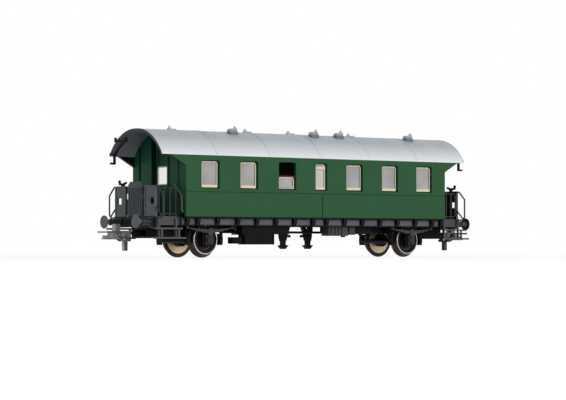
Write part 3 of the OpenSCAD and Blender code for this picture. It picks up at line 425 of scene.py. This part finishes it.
# Every node that isn't named here is underframe_black
NODES_OF = {
    "body_green": ("body_shell", "end_doors"),
    "roof_silver": ("roof",),
    "vent_silver": ("roof_vents",),
    "window_cream": ("window_frames_near", "window_frames_far"),
    "glazing": ("glazing_near", "glazing_far"),
    "door_cream": ("door_window_frames",),
    "door_pane": ("door_panes",),
    "seat_brown": ("seat_insert",),
    "steel": ("ballast_plate", "frame_screws"),
    "tyre_bright": ("wheels_left", "wheels_right"),
    "wheel_centre_black": ("wheel_centres_left", "wheel_centres_right"),
    "bearing_brass": ("axle_bearings",),
    "axlebox_grey": ("axleboxes",),
    "spring_grey": ("leaf_springs",),
    "solebar_grey": ("solebar_near", "solebar_far"),
    "box_grey": ("equipment_boxes",),
    "frame_grey": ("platform_left", "platform_right"),
    "headstock_grey": ("headstocks",),
    "railing_grey": ("end_railing_left", "end_railing_right", "entrance_handrails"),
    "gangway_grey": ("gangway_plates",),
    "gate_grey": ("side_gates", "corner_handrails", "buffer_housings"),
    "buffer_grey": ("buffer_heads",),
    "step_grey": ("steps_left", "steps_right"),
    "coupler_grey": ("coupler_head_left", "coupler_head_right", "loop_pin_left", "loop_pin_right"),
    "loop_grey": ("coupler_loop_left", "coupler_loop_right"),
}
material_of = {node: name for name, group in NODES_OF.items() for node in group}

for name, obj in nodes.items():
    obj.data.materials.clear()
    obj.data.materials.append(materials[material_of.get(name, "underframe_black")])


# Rivets, in millimetres: a row along the foot of the body, uprights between the windows, a row on the solebar

RIVET_R = 0.2
BODY_RIVET_H = 0.14
WEB_RIVET_H = 0.16
DOME_RINGS = 3
DOME_SEGMENTS = 8
FOOT_ROW = (-61.9, 61.9)
FOOT_Z = 15.35
FOOT_PITCH = 1.55
POST_X = (4.35, 12.35, 21.1, 29.8, 38.5, 47.15, 55.6)
POST_ROW = (16.9, 22.9)
POST_PITCH = 1.5
WEB_ROW = (-62, 62)
WEB_Z = 14.0
WEB_PITCH = 1.05


def dome(shape, place, normal, height):
    """Add one round rivet head to a bmesh; place is its foot and normal the way it looks."""
    turn = normal.to_track_quat("Z", "Y")
    loops = []
    for i in range(DOME_RINGS):
        lift = math.pi / 2 * i / DOME_RINGS
        loops.append([
            shape.verts.new(place + turn @ Vector((
                RIVET_R * MM * math.cos(lift) * math.cos(math.tau * k / DOME_SEGMENTS),
                RIVET_R * MM * math.cos(lift) * math.sin(math.tau * k / DOME_SEGMENTS),
                height * math.sin(lift),
            )))
            for k in range(DOME_SEGMENTS)
        ])
    crown = shape.verts.new(place + turn @ Vector((0, 0, height)))
    shape.faces.new(loops[0][::-1])
    for k in range(DOME_SEGMENTS):
        after = (k + 1) % DOME_SEGMENTS
        for low, high in zip(loops, loops[1:]):
            shape.faces.new((low[k], low[after], high[after], high[k]))
        shape.faces.new((loops[-1][k], loops[-1][after], crown))


def rivets(name, spots, height, body, slot):
    """One mesh of rivet heads that look out to the side; spots and height are in millimetres."""
    shape = bmesh.new()
    for x, y, z in spots:
        dome(shape, Vector((x, y, z)) * MM, Vector((0, math.copysign(1, y), 0)), height * MM)
    mesh = bpy.data.meshes.new(name)
    shape.to_mesh(mesh)
    shape.free()
    for face in mesh.polygons:
        face.use_smooth = True
    obj = bpy.data.objects.new(name, mesh)
    bpy.context.collection.objects.link(obj)
    obj.data.materials.append(materials[slot])
    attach(obj, body)


def spread(low, high, pitch):
    """Evenly spaced values from low to high, about pitch apart."""
    count = max(1, round((high - low) / pitch))
    return [low + (high - low) * i / count for i in range(count + 1)]


body_spots = []
web_spots = []
for side in (-1, 1):
    body_spots += [(x, side * SIDE_Y, FOOT_Z) for x in spread(*FOOT_ROW, FOOT_PITCH)]
    body_spots += [
        (end * x, side * SIDE_Y, z)
        for x in POST_X for z in spread(*POST_ROW, POST_PITCH) for end in (-1, 1)
    ]
    web_spots += [(x, side * WEB_Y, WEB_Z) for x in spread(*WEB_ROW, WEB_PITCH)]
rivets("body_rivets", body_spots, BODY_RIVET_H, "coach", "body_green")
rivets("solebar_rivets", web_spots, WEB_RIVET_H, "coach", "underframe_black")


# Floor, background and light

FLOOR_HALF = 4.0
FLOOR_GREY = (0.26, 0.26, 0.26, 1)
GLOW_NEAR = (0.15, 0.82)
GLOW_FAR = (1.0, 1.0)
WORLD_LIGHT = 0.45
WHITE = (1, 1, 1, 1)
LAMPS = (
    ("key", (0.3, -1.15, 0.2), (0, 0, 0.025), 0.6, 6.6),
    ("fill", (-1.05, -0.45, 0.2), (0, 0, 0.025), 0.6, 2.2),
    ("low", (-0.45, -0.95, 0.035), (0.03, 0, 0.006), 0.12, 0.9),
)


def seen_directly(tree):
    """1 for rays from the camera, from mirrors and through glass, and 0 for rays that light something."""
    path = add_node(tree, "LightPath")
    seen = path.outputs["Is Camera Ray"]
    for ray in ("Is Glossy Ray", "Is Transmission Ray"):
        seen = add_node(tree, "Math", {0: seen, 1: path.outputs[ray]}, operation="MAXIMUM").outputs[0]
    return seen


def floor_material():
    """Pale floor that keeps the shadow, fades to white away from the coach and is clear from below."""
    mat = bpy.data.materials.new("floor_white")
    mat.use_nodes = True
    tree = mat.node_tree
    tree.nodes.clear()
    coord = add_node(tree, "TexCoord").outputs["Object"]
    away = add_node(tree, "VectorMath", {0: coord}, operation="LENGTH").outputs["Value"]
    fade = add_node(tree, "MapRange", {
        "Value": away,
        "From Min": GLOW_NEAR[0], "To Min": GLOW_NEAR[1],
        "From Max": GLOW_FAR[0], "To Max": GLOW_FAR[1],
    }).outputs["Result"]
    level = add_node(tree, "Math", {0: seen_directly(tree), 1: fade}, operation="MULTIPLY").outputs[0]
    glow = add_node(tree, "Emission", {"Color": WHITE, "Strength": level}).outputs[0]
    diffuse = add_node(tree, "BsdfDiffuse", {"Color": FLOOR_GREY}).outputs[0]
    above = add_node(tree, "AddShader", {0: diffuse, 1: glow}).outputs[0]
    below = add_node(tree, "BsdfTransparent").outputs[0]
    side = add_node(tree, "NewGeometry").outputs["Backfacing"]
    sided = add_node(tree, "MixShader", {0: side, 1: above, 2: below}).outputs[0]
    add_node(tree, "OutputMaterial", {"Surface": sided})
    return mat


def plane(name, half):
    mesh = bpy.data.meshes.new(name)
    corners = [(-half, -half, 0), (half, -half, 0), (half, half, 0), (-half, half, 0)]
    mesh.from_pydata(corners, [], [(0, 1, 2, 3)])
    obj = bpy.data.objects.new(name, mesh)
    bpy.context.collection.objects.link(obj)
    return obj


def softbox(name, place, aim, size, power):
    data = bpy.data.lights.new(name, "AREA")
    data.shape = "SQUARE"
    data.size = size
    data.energy = power
    obj = bpy.data.objects.new(name, data)
    obj.location = place
    obj.rotation_euler = (Vector(aim) - Vector(place)).to_track_quat("-Z", "Y").to_euler()
    bpy.context.collection.objects.link(obj)


floor = plane("floor", FLOOR_HALF)
floor.data.materials.append(floor_material())

world = bpy.data.worlds.new("studio")
bpy.context.scene.world = world
world.use_nodes = True
sky = world.node_tree
sky.nodes.clear()
dim = add_node(sky, "Background", {"Color": WHITE, "Strength": WORLD_LIGHT}).outputs[0]
white = add_node(sky, "Background", {"Color": WHITE, "Strength": 1.0}).outputs[0]
chosen = add_node(sky, "MixShader", {0: seen_directly(sky), 1: dim, 2: white}).outputs[0]
add_node(sky, "OutputWorld", {"Surface": chosen})

for lamp in LAMPS:
    softbox(*lamp)

bpy.context.scene.view_settings.view_transform = "Standard"
